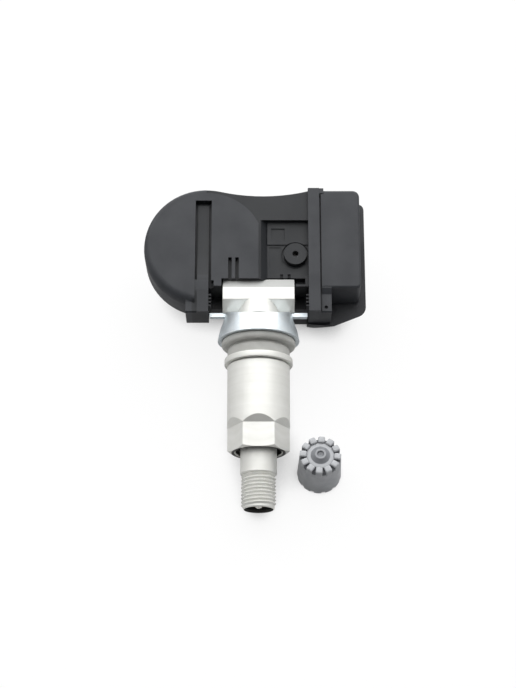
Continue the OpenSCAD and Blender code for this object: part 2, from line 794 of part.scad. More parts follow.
housing();
base();
circuit_board();
button_cell();
cell_tab_lower();
cell_tab_upper();
sensor_chip();
port_seal();
port_filter();
radio_antenna();
wake_coil();
valve_stem();
collar();
grommet();
core_barrel();
core_seal();
core_spring();
core_pin();
core_plunger();
washer();
sleeve_nut();
valve_cap();
cap_liner();
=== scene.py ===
import json
import math

import bpy
from mathutils import Matrix, Vector


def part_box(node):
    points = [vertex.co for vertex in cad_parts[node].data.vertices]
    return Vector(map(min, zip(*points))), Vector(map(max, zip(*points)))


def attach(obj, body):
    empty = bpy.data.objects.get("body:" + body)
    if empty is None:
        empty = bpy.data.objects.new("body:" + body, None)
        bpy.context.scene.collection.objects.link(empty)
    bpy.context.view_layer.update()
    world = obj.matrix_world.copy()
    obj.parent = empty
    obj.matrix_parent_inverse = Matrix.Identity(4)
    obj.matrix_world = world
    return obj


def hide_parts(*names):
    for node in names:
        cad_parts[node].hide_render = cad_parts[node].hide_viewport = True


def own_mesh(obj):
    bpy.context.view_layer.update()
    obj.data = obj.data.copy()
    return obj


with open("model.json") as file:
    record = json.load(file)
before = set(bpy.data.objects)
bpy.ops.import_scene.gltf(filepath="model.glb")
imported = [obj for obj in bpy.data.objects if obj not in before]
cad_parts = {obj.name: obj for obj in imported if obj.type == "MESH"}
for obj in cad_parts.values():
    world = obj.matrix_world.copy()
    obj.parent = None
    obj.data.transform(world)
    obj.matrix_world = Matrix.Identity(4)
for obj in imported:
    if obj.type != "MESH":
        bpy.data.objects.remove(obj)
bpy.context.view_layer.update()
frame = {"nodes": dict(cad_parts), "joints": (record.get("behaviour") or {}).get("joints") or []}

print("frame loaded:", len(frame["nodes"]), "nodes")

mm = 0.001
joints = {joint["name"]: joint for joint in frame["joints"]}

# The valve's own frame: local Z runs towards the tip, local Y points up
pivot = Vector(joints["valve_tilt"]["pos_m"])
tipWay = Vector(joints["washer_slide"]["axis"]).normalized()
rightWay = Vector((1, 0, 0))
upWay = tipWay.cross(rightWay)
backWay = -tipWay


def axesMatrix(origin, xWay, yWay, zWay):
    # A piece's own frame, in which one unit is a millimetre
    turn = Matrix((xWay, yWay, zWay)).transposed().to_4x4()
    return Matrix.Translation(origin) @ turn @ Matrix.Scale(mm, 4)


valvePlace = axesMatrix(pivot, rightWay, upWay, tipWay)
housingPlace = axesMatrix(pivot, rightWay, backWay, upWay)
capLow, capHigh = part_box("valve_cap")
capPlace = axesMatrix(Vector(((capLow.x + capHigh.x) / 2, (capLow.y + capHigh.y) / 2, 0)),
                      Vector((1, 0, 0)), Vector((0, 1, 0)), Vector((0, 0, 1)))


# Tools for shader nodes

def newGroup(name, inputs, outputs):
    group = bpy.data.node_groups.new(name, "ShaderNodeTree")
    for label, kind, value in inputs:
        socket = group.interface.new_socket(name=label, in_out="INPUT", socket_type=kind)
        if value is not None:
            socket.default_value = value
    for label, kind in outputs:
        group.interface.new_socket(name=label, in_out="OUTPUT", socket_type=kind)
    start = group.nodes.new("NodeGroupInput")
    end = group.nodes.new("NodeGroupOutput")
    return group, start, end


def mathNode(tree, operation, *values):
    # Each value is a number or the output of another node
    node = tree.nodes.new("ShaderNodeMath")
    node.operation = operation
    for index, value in enumerate(values):
        if isinstance(value, (int, float)):
            node.inputs[index].default_value = value
        else:
            tree.links.new(value, node.inputs[index])
    return node.outputs[0]


def mapRange(tree, value, low, high, fromLow=0.3, fromHigh=0.7):
    node = tree.nodes.new("ShaderNodeMapRange")
    tree.links.new(value, node.inputs["Value"])
    node.inputs["From Min"].default_value = fromLow
    node.inputs["From Max"].default_value = fromHigh
    node.inputs["To Min"].default_value = low
    node.inputs["To Max"].default_value = high
    return node.outputs["Result"]


def between(tree, value, low, high, soft):
    # 1 from low to high, falling to 0 over the soft width on either side
    return mathNode(tree, "MULTIPLY", mapRange(tree, value, 0.0, 1.0, low - soft, low),
                    mapRange(tree, value, 1.0, 0.0, high, high + soft))


def halfAndHalf(tree, first, second):
    return mathNode(tree, "MULTIPLY_ADD", first, 0.5, mathNode(tree, "MULTIPLY", second, 0.5))


def splitVector(tree, vector):
    split = tree.nodes.new("ShaderNodeSeparateXYZ")
    tree.links.new(vector, split.inputs[0])
    return split.outputs


def radiusFrom(tree, x, y):
    square = mathNode(tree, "ADD", mathNode(tree, "MULTIPLY", x, x),
                      mathNode(tree, "MULTIPLY", y, y))
    return mathNode(tree, "SQRT", square)


def noiseNode(tree, vector, scale, detail, roughness):
    node = tree.nodes.new("ShaderNodeTexNoise")
    node.inputs["Detail"].default_value = detail
    node.inputs["Roughness"].default_value = roughness
    tree.links.new(vector, node.inputs["Vector"])
    tree.links.new(scale, node.inputs["Scale"])
    return node.outputs["Fac"]


def lineNode(tree, along, scale):
    node = tree.nodes.new("ShaderNodeTexNoise")
    node.noise_dimensions = "1D"
    node.inputs["Scale"].default_value = scale
    node.inputs["Detail"].default_value = 2.0
    tree.links.new(along, node.inputs["W"])
    return node.outputs["Fac"]


# Shader node groups, each built once and used by several materials

def buildGrainGroup():
    # Fine moulded or blasted grain, with slow patches over it
    group, start, end = newGroup("surfaceGrain",
        [("Vector", "NodeSocketVector", None), ("Grain Size", "NodeSocketFloat", 0.1),
         ("Patch Size", "NodeSocketFloat", 4.0)],
        [("Height", "NodeSocketFloat"), ("Patches", "NodeSocketFloat")])
    grainScale = mathNode(group, "DIVIDE", 1.0, start.outputs["Grain Size"])
    patchScale = mathNode(group, "DIVIDE", 1.0, start.outputs["Patch Size"])
    fine = noiseNode(group, start.outputs["Vector"], grainScale, 4.0, 0.6)
    patches = noiseNode(group, start.outputs["Vector"], patchScale, 3.0, 0.5)
    group.links.new(fine, end.inputs["Height"])
    group.links.new(patches, end.inputs["Patches"])
    return group


def buildTurnedGroup():
    # Rings that a lathe tool leaves, on round sides and on flat ends alike
    group, start, end = newGroup("turnedLines",
        [("Vector", "NodeSocketVector", None), ("Line Width", "NodeSocketFloat", 0.1)],
        [("Height", "NodeSocketFloat"), ("Streaks", "NodeSocketFloat")])
    x, y, z = splitVector(group, start.outputs["Vector"])
    along = mathNode(group, "ADD", radiusFrom(group, x, y), z)
    lineCount = mathNode(group, "DIVIDE", along, start.outputs["Line Width"])
    group.links.new(lineNode(group, lineCount, 1.0), end.inputs["Height"])
    group.links.new(lineNode(group, lineCount, 0.08), end.inputs["Streaks"])
    return group


grainGroup = buildGrainGroup()
turnedGroup = buildTurnedGroup()


# Materials

def linear(red, green, blue):
    # A colour written in screen values from 0 to 255
    shares = (red / 255, green / 255, blue / 255)
    return tuple(share / 12.92 if share <= 0.04045 else ((share + 0.055) / 1.055) ** 2.4
                 for share in shares) + (1.0,)


def placedVector(tree, place):
    # Object coordinates turned into millimetres of the piece's own frame
    coordinates = tree.nodes.new("ShaderNodeTexCoord")
    mapping = tree.nodes.new("ShaderNodeMapping")
    mapping.vector_type = "TEXTURE"
    mapping.inputs["Location"].default_value = place.to_translation()
    mapping.inputs["Rotation"].default_value = place.to_euler()
    mapping.inputs["Scale"].default_value = (mm, mm, mm)
    tree.links.new(coordinates.outputs["Object"], mapping.inputs["Vector"])
    return mapping.outputs["Vector"]


def addGroup(tree, group, vector, settings):
    node = tree.nodes.new("ShaderNodeGroup")
    node.node_tree = group
    for label, value in settings.items():
        node.inputs[label].default_value = value
    tree.links.new(vector, node.inputs["Vector"])
    return node.outputs


def blendColours(tree, mask, first, second):
    # The first colour is fixed or comes out of another node; where the mask is 1, the second shows
    node = tree.nodes.new("ShaderNodeMix")
    node.data_type = "RGBA"
    if isinstance(first, tuple):
        node.inputs["A"].default_value = first
    else:
        tree.links.new(first, node.inputs["A"])
    node.inputs["B"].default_value = second
    tree.links.new(mask, node.inputs["Factor"])
    return node.outputs["Result"]


def shadeLowFaces(tree, vector, colour, sunken):
    # Painted shade: the lower faces between the straps of the housing are darkened
    x, y, z = splitVector(tree, vector)
    low = mapRange(tree, z, 1.0, 0.0, sunken["top"] - 0.1, sunken["top"])
    across = between(tree, x, sunken["left"], sunken["right"], 0.2)
    return blendColours(tree, mathNode(tree, "MULTIPLY", low, across), colour, sunken["colour"])


def paintLightAndShadeByRadius(tree, vector, colour, paintedLightAndShadeBands):
    # Painted light and shade: each band has its own colour between two radii and two heights above
    # the foot of the cap
    x, y, z = splitVector(tree, vector)
    radius = radiusFrom(tree, x, y)
    for band in paintedLightAndShadeBands:
        sides = between(tree, radius, *band["radii"], 0.1)
        ends = between(tree, z, *band["heights"], 0.1)
        colour = blendColours(tree, mathNode(tree, "MULTIPLY", sides, ends), colour,
                              band["colour"])
    return colour


def newMaterial(name, place, look):
    # A look holds two colours, metallic, a roughness range, and grain, patch and bump in mm.
    # Some looks also have lines in mm, a specular level, an area of painted shade or bands of
    # painted light and shade
    material = bpy.data.materials.new(name)
    material.use_nodes = True
    tree = material.node_tree
    shader = tree.nodes["Principled BSDF"]
    vector = placedVector(tree, place)
    grain = addGroup(tree, grainGroup, vector,
                     {"Grain Size": look["grain"], "Patch Size": look["patch"]})
    patches, height = grain["Patches"], grain["Height"]
    if look.get("lines"):
        turned = addGroup(tree, turnedGroup, vector, {"Line Width": look["lines"]})
        patches = halfAndHalf(tree, turned["Streaks"], patches)
        height = halfAndHalf(tree, turned["Height"], height)
    colour = blendColours(tree, mapRange(tree, patches, 0.0, 1.0), *look["colours"])
    # Painted shade over the lower faces of the housing
    if look.get("sunken"):
        colour = shadeLowFaces(tree, vector, colour, look["sunken"])
    # Painted light and shade in bands on the cap
    if look.get("paintedLightAndShadeBands"):
        colour = paintLightAndShadeByRadius(tree, vector, colour, look["paintedLightAndShadeBands"])
    tree.links.new(colour, shader.inputs["Base Color"])
    tree.links.new(mapRange(tree, patches, *look["roughness"]), shader.inputs["Roughness"])
    shader.inputs["Metallic"].default_value = look["metallic"]
    shader.inputs["Specular IOR Level"].default_value = look.get("specular", 0.5)
    bump = tree.nodes.new("ShaderNodeBump")
    bump.inputs["Strength"].default_value = 1.0
    bump.inputs["Distance"].default_value = look["bump"] * mm
    tree.links.new(height, bump.inputs["Height"])
    tree.links.new(bump.outputs["Normal"], shader.inputs["Normal"])
    return material


housingPlastic = newMaterial("housingPlastic", housingPlace, {
    "colours": (linear(54, 56, 60), linear(48, 50, 54)), "metallic": 0.0,
    "roughness": (0.42, 0.54), "grain": 0.12, "patch": 6.0, "bump": 0.012, "specular": 0.36,
    # Painted shade on the faces below the plateau, between the straps
    "sunken": {"top": 4.35, "left": -15.0, "right": 11.3, "colour": linear(34, 36, 39)}})
basePlastic = newMaterial("basePlastic", housingPlace, {
    "colours": (linear(40, 41, 45), linear(34, 35, 39)), "metallic": 0.0,
    "roughness": (0.42, 0.56), "grain": 0.12, "patch": 5.0, "bump": 0.012, "specular": 0.36})
satinAluminium = newMaterial("satinAluminium", valvePlace, {
    "colours": (linear(232, 232, 228), linear(224, 224, 219)), "metallic": 0.45,
    "roughness": (0.4, 0.5), "grain": 0.08, "patch": 3.0, "bump": 0.003, "lines": 0.12})
zincSteel = newMaterial("zincSteel", valvePlace, {
    "colours": (linear(226, 233, 236), linear(212, 221, 226)), "metallic": 0.7,
    "roughness": (0.32, 0.46), "grain": 0.2, "patch": 1.6, "bump": 0.006})
greyRubber = newMaterial("greyRubber", valvePlace, {
    "colours": (linear(186, 186, 182), linear(172, 172, 168)), "metallic": 0.0,
    "roughness": (0.42, 0.55), "grain": 0.15, "patch": 2.5, "bump": 0.012})
capPlastic = newMaterial("capPlastic", capPlace, {
    "colours": (linear(158, 160, 163), linear(148, 150, 154)), "metallic": 0.0,
    "roughness": (0.38, 0.5), "grain": 0.1, "patch": 2.0, "bump": 0.01,
    # Painted light on the pad tops and on the floor round the cone, painted shade on the cone and
    # in the slots
    "paintedLightAndShadeBands": [
        {"radii": (2.9, 6.0), "heights": (9.3, 10.5), "colour": linear(174, 176, 179)},  # pads
        {"radii": (2.15, 3.0), "heights": (8.9, 9.3), "colour": linear(172, 174, 177)},  # floor
        {"radii": (0.0, 2.1), "heights": (9.0, 9.75), "colour": linear(122, 124, 128)},  # cone
        {"radii": (2.9, 4.35), "heights": (7.9, 9.0), "colour": linear(92, 94, 98)}]})  # slots
coreBrass = newMaterial("coreBrass", valvePlace, {
    "colours": (linear(196, 170, 110), linear(170, 145, 92)), "metallic": 1.0,
    "roughness": (0.25, 0.4), "grain": 0.06, "patch": 1.0, "bump": 0.004, "lines": 0.08})
# Painted shade: a darker, matte copy of the aluminium for the upper back facet of the T-head
paintedShadeFacet = newMaterial("paintedShadeFacet", valvePlace, {
    "colours": (linear(184, 185, 183), linear(179, 180, 178)), "metallic": 0.0,
    "roughness": (0.7, 0.8), "grain": 0.08, "patch": 3.0, "bump": 0.003, "specular": 0.1})
# Painted shade: a darker copy of the aluminium inside the bores of the stem and the nut
paintedShadeBore = newMaterial("paintedShadeBore", valvePlace, {
    "colours": (linear(72, 72, 71), linear(60, 60, 59)), "metallic": 0.6,
    "roughness": (0.45, 0.6), "grain": 0.08, "patch": 2.0, "bump": 0.003, "lines": 0.12})
pinMetal = newMaterial("pinMetal", valvePlace, {
    "colours": (linear(244, 242, 236), linear(236, 233, 226)), "metallic": 0.4,
    "roughness": (0.3, 0.42), "grain": 0.06, "patch": 0.8, "bump": 0.003, "lines": 0.06})
springSteel = newMaterial("springSteel", valvePlace, {
    "colours": (linear(190, 192, 194), linear(168, 170, 172)), "metallic": 1.0,
    "roughness": (0.22, 0.34), "grain": 0.05, "patch": 1.0, "bump": 0.002})
blackRubber = newMaterial("blackRubber", valvePlace, {
    "colours": (linear(38, 38, 39), linear(30, 30, 31)), "metallic": 0.0,
    "roughness": (0.55, 0.7), "grain": 0.1, "patch": 1.5, "bump": 0.01})
boardResin = newMaterial("boardResin", housingPlace, {
    "colours": (linear(34, 92, 58), linear(26, 76, 48)), "metallic": 0.0,
    "roughness": (0.3, 0.42), "grain": 0.3, "patch": 2.0, "bump": 0.008})
cellSteel = newMaterial("cellSteel", housingPlace, {
    "colours": (linear(205, 206, 208), linear(186, 188, 190)), "metallic": 1.0,
    "roughness": (0.25, 0.38), "grain": 0.08, "patch": 3.0, "bump": 0.004})
tabMetal = newMaterial("tabMetal", housingPlace, {
    "colours": (linear(214, 204, 176), linear(196, 186, 158)), "metallic": 1.0,
    "roughness": (0.28, 0.4), "grain": 0.08, "patch": 1.5, "bump": 0.003})
chipBody = newMaterial("chipBody", housingPlace, {
    "colours": (linear(44, 44, 46), linear(36, 36, 38)), "metallic": 0.0,
    "roughness": (0.4, 0.5), "grain": 0.06, "patch": 1.0, "bump": 0.004})
coilWire = newMaterial("coilWire", housingPlace, {
    "colours": (linear(176, 104, 62), linear(150, 84, 48)), "metallic": 1.0,
    "roughness": (0.3, 0.42), "grain": 0.06, "patch": 0.6, "bump": 0.006})
filterFilm = newMaterial("filterFilm", housingPlace, {
    "colours": (linear(232, 232, 230), linear(220, 220, 218)), "metallic": 0.0,
    "roughness": (0.6, 0.75), "grain": 0.05, "patch": 0.5, "bump": 0.004})
print("materials made:", len(bpy.data.materials))

nodeMaterials = {
    "housing": housingPlastic, "base": basePlastic, "circuit_board": boardResin,
    "button_cell": cellSteel, "cell_tab_lower": tabMetal, "cell_tab_upper": tabMetal,
    "sensor_chip": chipBody, "port_seal": blackRubber, "port_filter": filterFilm,
    "radio_antenna": tabMetal, "wake_coil": coilWire, "valve_stem": satinAluminium,
    "collar": zincSteel, "grommet": greyRubber, "core_barrel": coreBrass,
    "core_seal": filterFilm, "core_spring": springSteel, "core_pin": pinMetal,
    "core_plunger": blackRubber, "washer": satinAluminium, "sleeve_nut": satinAluminium,
    "valve_cap": capPlastic, "cap_liner": blackRubber}
for nodeName, material in nodeMaterials.items():
    mesh = frame["nodes"][nodeName].data
    mesh.materials.clear()
    mesh.materials.append(material)


# Tools for the modelled pieces, which are made in millimetres and then put in place

def selectOnly(piece):
    bpy.ops.object.select_all(action="DESELECT")
    bpy.context.view_layer.objects.active = piece
    piece.select_set(True)


def editAll(piece):
    selectOnly(piece)
    bpy.ops.object.mode_set(mode="EDIT")
    bpy.ops.mesh.select_all(action="SELECT")


def chooseVerts(piece, wanted):
    # Selects the points for which wanted(x, y, z) is true, and stays in edit mode
    bpy.ops.mesh.select_mode(type="VERT")
    bpy.ops.mesh.select_all(action="DESELECT")
    bpy.ops.object.mode_set(mode="OBJECT")
    for vertex in piece.data.vertices:
        vertex.select = wanted(*vertex.co)
    bpy.ops.object.mode_set(mode="EDIT")


def turnChosen(degrees, axis):
    bpy.ops.transform.rotate(value=math.radians(degrees), orient_axis=axis,
                             center_override=(0, 0, 0))


def applyPlace():
    bpy.ops.object.transform_apply(location=True, rotation=True, scale=True)


def applyModifier(piece, kind, **settings):
    selectOnly(piece)
    modifier = piece.modifiers.new(kind.lower(), kind)
    for setting, value in settings.items():
        setattr(modifier, setting, value)
    bpy.ops.object.modifier_apply(modifier=modifier.name)


def roundEdges(piece, width, segments=2, angle=30):
    applyModifier(piece, "BEVEL", width=width, segments=segments, limit_method="ANGLE",
                  angle_limit=math.radians(angle), use_clamp_overlap=True)


def merge(piece, other, operation="UNION"):
    applyModifier(piece, "BOOLEAN", object=other, operation=operation, solver="EXACT")
    bpy.data.objects.remove(other, do_unlink=True)


def joinTo(piece, other):
    selectOnly(piece)
    other.select_set(True)
    bpy.ops.object.join()


def turnedPiece(name, profile, segments=128):
    # The profile lists radius and place along the axis. Ring after ring is drawn out of a
    # circle, and the last meets the first
    bpy.ops.object.select_all(action="DESELECT")
    radius, along = profile[0]
    bpy.ops.mesh.primitive_circle_add(vertices=segments, radius=radius, location=(0, 0, 0))
    piece = bpy.context.object
    piece.name = name
    bpy.ops.object.mode_set(mode="EDIT")
    bpy.ops.mesh.select_all(action="SELECT")
    bpy.ops.transform.translate(value=(0, 0, along))
    for nextRadius, nextAlong in profile[1:] + profile[:1]:
        step = (0, 0, nextAlong - along)
        bpy.ops.mesh.extrude_region_move(TRANSFORM_OT_translate={"value": step})
        bpy.ops.transform.resize(value=(nextRadius / radius, nextRadius / radius, 1),
                                 center_override=(0, 0, nextAlong))
        radius, along = nextRadius, nextAlong
    bpy.ops.mesh.select_all(action="SELECT")
    bpy.ops.mesh.remove_doubles(threshold=0.001)
    bpy.ops.mesh.normals_make_consistent(inside=False)
    bpy.ops.object.mode_set(mode="OBJECT")
    return piece


def addBox(size, centre):
    bpy.ops.object.select_all(action="DESELECT")
    bpy.ops.mesh.primitive_cube_add(size=1, location=centre)
    box = bpy.context.object
    box.scale = size
    applyPlace()
    return box


def addTurnedBox(size, centre, turn):
    box = addBox(size, (0, 0, 0))
    box.rotation_euler = turn
    box.location = centre
    applyPlace()
    return box


def putInPlace(piece, place, material, body, nodes, smooth=32):
    selectOnly(piece)
    piece.matrix_world = place
    applyPlace()
    bpy.ops.object.shade_smooth_by_angle(angle=math.radians(smooth))
    applyModifier(piece, "WEIGHTED_NORMAL", keep_sharp=True)
    piece.data.materials.clear()
    piece.data.materials.append(material)
    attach(piece, body)
    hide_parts(*nodes)


def paintFaces(piece, material, wanted):
    # Faces whose centre and outward way in the valve's frame suit take another material, which
    # paints shade on them
    piece.data.materials.append(material)
    back = valvePlace.inverted()
    turn = valvePlace.to_3x3().inverted()
    for face in piece.data.polygons:
        if wanted(back @ face.center, (turn @ face.normal).normalized()):
            face.material_index = len(piece.data.materials) - 1


def inBore(radius, fromZ):
    return lambda point, way: point.z > fromZ and math.hypot(point.x, point.y) < radius


# Stem: eight-sided T-head, slightly flared neck, shank and the thread for the cap

stem = {
    "headLength": 16.3, "headFlats": 8.4, "headEdge": 0.2, "headTo": 4.05,
    "headBackEdge": 1.27, "headBackCorner": (3.62, 2.62),
    "neckFrom": 1.5, "neckTo": 4.98, "neckRoot": 4.75, "neckRadius": 5.0, "neckLift": 0.03,
    "bodyFrom": 2.0, "bodyRadius": 4.3, "stepAt": 30.45, "stepLength": 0.6, "shankRadius": 4.05,
    "threadAt": 41.6, "threadRadius": 3.84, "rootRadius": 3.42, "pitch": 0.794, "turns": 9,
    "ridgeShare": 0.47, "lastTurn": 0.62, "lastTurnShare": 0.93, "endAt": 49.2,
    "boreRadius": 2.92, "boreAt": 29.2, "airRadius": 1.25, "airDepth": 12, "airCentre": -1,
}


def buildHead():
    # A regular octagon, whose upper back facet is then moved and whose front face is set back
    half = stem["headFlats"] / 2
    bpy.ops.object.select_all(action="DESELECT")
    bpy.ops.mesh.primitive_cylinder_add(vertices=8, radius=half / math.cos(math.radians(22.5)),
                                        depth=stem["headLength"])
    head = bpy.context.object
    head.name = "tHead"
    editAll(head)
    turnChosen(22.5, "Z")
    turnChosen(90, "Y")
    corner = half * math.tan(math.radians(22.5))
    backEdge, backCorner = stem["headBackEdge"], stem["headBackCorner"]
    chooseVerts(head, lambda x, y, z: z < 0 and abs(y - half) < 0.01)
    bpy.ops.transform.translate(value=(0, 0, corner - backEdge))
    chooseVerts(head, lambda x, y, z: abs(z + half) < 0.01 and y > 0)
    bpy.ops.transform.translate(value=(0, backCorner[1] - corner, half - backCorner[0]))
    chooseVerts(head, lambda x, y, z: abs(z - half) < 0.01)
    bpy.ops.transform.translate(value=(0, 0, stem["headTo"] - half))
    bpy.ops.object.mode_set(mode="OBJECT")
    roundEdges(head, stem["headEdge"], 3)
    return head


def buildNeck():
    # Cut flat below, where it clears the cradle
    length = stem["neckTo"] - stem["neckFrom"]
    bpy.ops.object.select_all(action="DESELECT")
    bpy.ops.mesh.primitive_cone_add(vertices=128, radius1=stem["neckRoot"],
                                    radius2=stem["neckRadius"], depth=length,
                                    location=(0, 0, stem["neckFrom"] + length / 2))
    neck = bpy.context.object
    bpy.ops.object.transform_apply(location=True)
    editAll(neck)
    bpy.ops.mesh.bisect(plane_co=(0, stem["neckLift"] - stem["headFlats"] / 2, 0),
                        plane_no=(0, -1, 0), use_fill=True, clear_outer=True)
    bpy.ops.object.mode_set(mode="OBJECT")
    return neck


def buildThread():
    # A square on its corner is wound round the root, and the last turn is drawn in
    root = stem["rootRadius"]
    bpy.ops.object.select_all(action="DESELECT")
    bpy.ops.mesh.primitive_circle_add(vertices=4, radius=1)
    thread = bpy.context.object
    thread.name = "stemThread"
    editAll(thread)
    turnChosen(90, "X")
    ridge = (stem["threadRadius"] - root, 1, stem["pitch"] * stem["ridgeShare"])
    bpy.ops.transform.resize(value=ridge, center_override=(0, 0, 0))
    bpy.ops.transform.translate(value=(root, 0, stem["threadAt"]))
    bpy.ops.object.mode_set(mode="OBJECT")
    applyModifier(thread, "SCREW", axis="Z", angle=math.radians(360),
                  screw_offset=stem["pitch"], iterations=stem["turns"], steps=72,
                  render_steps=72, use_smooth_shade=True)
    editAll(thread)
    bpy.ops.mesh.remove_doubles(threshold=0.001)
    bpy.ops.mesh.fill_holes(sides=6)
    bpy.ops.mesh.normals_make_consistent(inside=False)
    lastFrom = stem["endAt"] - stem["lastTurn"]
    chooseVerts(thread, lambda x, y, z: z > lastFrom and math.hypot(x, y) > root + 0.1)
    bpy.ops.transform.resize(value=(stem["lastTurnShare"], stem["lastTurnShare"], 1),
                             center_override=(0, 0, 0))
    bpy.ops.object.mode_set(mode="OBJECT")
    return thread


def buildStem():
    shank, root, bore = stem["shankRadius"], stem["rootRadius"], stem["boreRadius"]
    step, start, end = stem["stepAt"], stem["threadAt"], stem["endAt"]
    head = buildHead()
    neck = buildNeck()
    body = turnedPiece("valveStemTurned", [
        (stem["bodyRadius"], stem["bodyFrom"]), (stem["bodyRadius"], step),
        (shank, step + stem["stepLength"]),
        (shank, start - 0.35), (shank - 0.12, start - 0.2), (root, start + 0.05),  # run-out
        (root, end - 0.25), (root - 0.2, end), (bore + 0.3, end), (bore, end - 0.5),  # mouth
        (bore, stem["boreAt"]), (stem["airRadius"], stem["boreAt"]),
        (stem["airRadius"], stem["bodyFrom"])])
    merge(body, neck)
    merge(body, head)
    bpy.ops.object.select_all(action="DESELECT")
    bpy.ops.mesh.primitive_cylinder_add(vertices=48, radius=stem["airRadius"],
                                        depth=stem["airDepth"],
                                        location=(0, 0, stem["airCentre"]))
    merge(body, bpy.context.object, "DIFFERENCE")
    joinTo(body, buildThread())
    putInPlace(body, valvePlace, satinAluminium, "valve", ["valve_stem"], 24)
    # Painted shade inside the bore of the stem
    paintFaces(body, paintedShadeBore, inBore(bore + 0.2, stem["boreAt"] - 1))
    # The upper back facet of the T-head and its rounded edges face up and backwards; they take
    # painted shade
    paintFaces(body, paintedShadeFacet,
               lambda point, way: point.z < 0 and way.y > 0.5 and way.z < -0.2)
    print("stem built")


# Grommet

grommet = {
    "stemRadius": 4.3, "cupRadius": 7.9, "beadRadius": 8.35, "neckRadius": 7.0,
    "from": 6.2, "lip": 10.6, "bead": 12.1, "to": 14.9,
}


def buildGrommet():
    start, lip, bead, end = grommet["from"], grommet["lip"], grommet["bead"], grommet["to"]
    inner, cup = grommet["stemRadius"], grommet["cupRadius"]
    outer, neck = grommet["beadRadius"], grommet["neckRadius"]
    piece = turnedPiece("grommetMoulded", [
        (inner, start), (cup - 1.1, start), (cup - 0.4, start + 0.4),  # bottom, in the collar
        (cup - 0.06, start + 1.2), (cup - 0.06, lip - 1.4),
        (cup + 0.24, lip), (outer - 0.1, lip + 0.12), (outer, lip + 0.35),  # over the rim
        (outer, bead - 0.55), (outer - 0.12, bead - 0.25), (outer - 0.35, bead - 0.06),  # bead
        (outer - 0.6, bead), (neck - 0.1, bead - 0.05), (neck - 0.38, bead + 0.05),
        (neck - 0.42, bead + 0.25), (neck - 0.2, bead + 0.5),  # groove before the neck
        (neck, bead + 0.75), (neck, end - 0.15), (neck - 0.15, end), (inner, end)])
    putInPlace(piece, valvePlace, greyRubber, "valve", ["grommet"])


# Collar: pressed cup with a toothed ear on each side

collar = {
    "hole": 4.3, "from": 4.15, "floorTo": 5.9, "edge": 0.12,
    "cutAt": (2.2, 4.1), "cutTilt": 20.56, "cutSize": (24, 20, 4),
    "earFrom": 4.0, "earTo": 4.92, "earIn": 5.2, "earLow": -0.3, "earHigh": 1.2,
    "earShort": 0.1, "earEdge": 0.08,
    "toothPitch": 0.4, "toothSize": (0.36, 0.36, 2.0), "toothReach": 0.06,
    "outside": [(7.3, 4.15), (7.6, 4.3), (7.72, 4.7), (7.95, 5.8), (8.35, 7.0), (8.75, 8.1),
                (9.0, 9.2), (9.25, 10.52), (9.2, 10.6)],
    "inside": [(8.3, 10.6), (8.22, 10.5), (7.95, 9.0), (7.92, 7.4), (7.6, 6.7), (6.9, 6.2)],
}


def buildEar(side, reach):
    # A flat bar with teeth cut across its outer end
    low, high = collar["earLow"], collar["earHigh"]
    middle = (collar["earTo"] + collar["earFrom"]) / 2
    size = (reach - collar["earIn"] - collar["earShort"], high - low,
            collar["earTo"] - collar["earFrom"])
    ear = addBox(size, (side * (reach + collar["earIn"]) / 2, (high + low) / 2, middle))
    across = low
    while across < high:
        tooth = addTurnedBox(collar["toothSize"],
                             (side * (reach - collar["toothReach"]), across, middle),
                             (0, 0, math.radians(45)))
        merge(ear, tooth, "DIFFERENCE")
        across += collar["toothPitch"]
    roundEdges(ear, collar["earEdge"], 2, 40)
    return ear


def buildCollar():
    hole = collar["hole"]
    piece = turnedPiece("collarPressed", [(hole, collar["from"])] + collar["outside"]
                        + collar["inside"] + [(hole, collar["floorTo"])])
    # The cup leans away from the T-head above and below the ears, so that the body can tilt
    cutY, cutZ = collar["cutAt"]
    tilt = math.radians(collar["cutTilt"])
    deep = collar["cutSize"][2] / 2
    for side in (1, -1):
        centre = (0, side * (cutY + deep * math.sin(tilt)), cutZ - deep * math.cos(tilt))
        wedge = addTurnedBox(collar["cutSize"], centre, (side * tilt, 0, 0))
        merge(piece, wedge, "DIFFERENCE")
    roundEdges(piece, collar["edge"], 2, 40)
    low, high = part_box("collar")
    for side in (1, -1):
        merge(piece, buildEar(side, (high.x - low.x) / 2 / mm))
    putInPlace(piece, valvePlace, zincSteel, "valve", ["collar"])


# Washer

washer = {"bore": 4.4, "radius": 7.68, "from": 14.9, "to": 16.28, "edge": 0.14}


def buildWasher():
    piece = turnedPiece("washerTurned", [
        (washer["bore"], washer["from"]), (washer["radius"], washer["from"]),
        (washer["radius"], washer["to"]), (washer["bore"], washer["to"])])
    roundEdges(piece, washer["edge"], 3)
    putInPlace(piece, valvePlace, satinAluminium, "ring", ["washer"])


# Cap: hollow cone with a ring of pads round its closed end and notches round its foot

cap = {
    "height": 9.5, "footRadius": 4.88, "sideRadius": 4.62, "sideTo": 7.0, "slotRadius": 4.05,
    "floorAt": 9.05, "bore": 3.9, "boreTo": 7.6, "edge": 0.07,
    "padCount": 12, "padTurn": -5, "padWidth": 1.5, "padIn": 3.0, "padOut": 4.54,
    "padFrom": 6.3, "padRound": 0.34, "padLean": 0.02,
    "coneRadius": 2.05, "coneTop": 1.16, "coneHeight": 0.78, "dimple": 0.8, "dimpleDepth": 0.4,
    "notchWidth": 0.9, "notchHeight": 0.62, "notchDepth": 0.4,
}


def ringOfCopies(piece, count, turn):
    # Copies of a piece round the upright axis, joined as one object
    editAll(piece)
    turnChosen(-turn, "Z")
    for index in range(count - 1):
        bpy.ops.mesh.duplicate_move()
        turnChosen(-360 / count, "Z")
    bpy.ops.object.mode_set(mode="OBJECT")


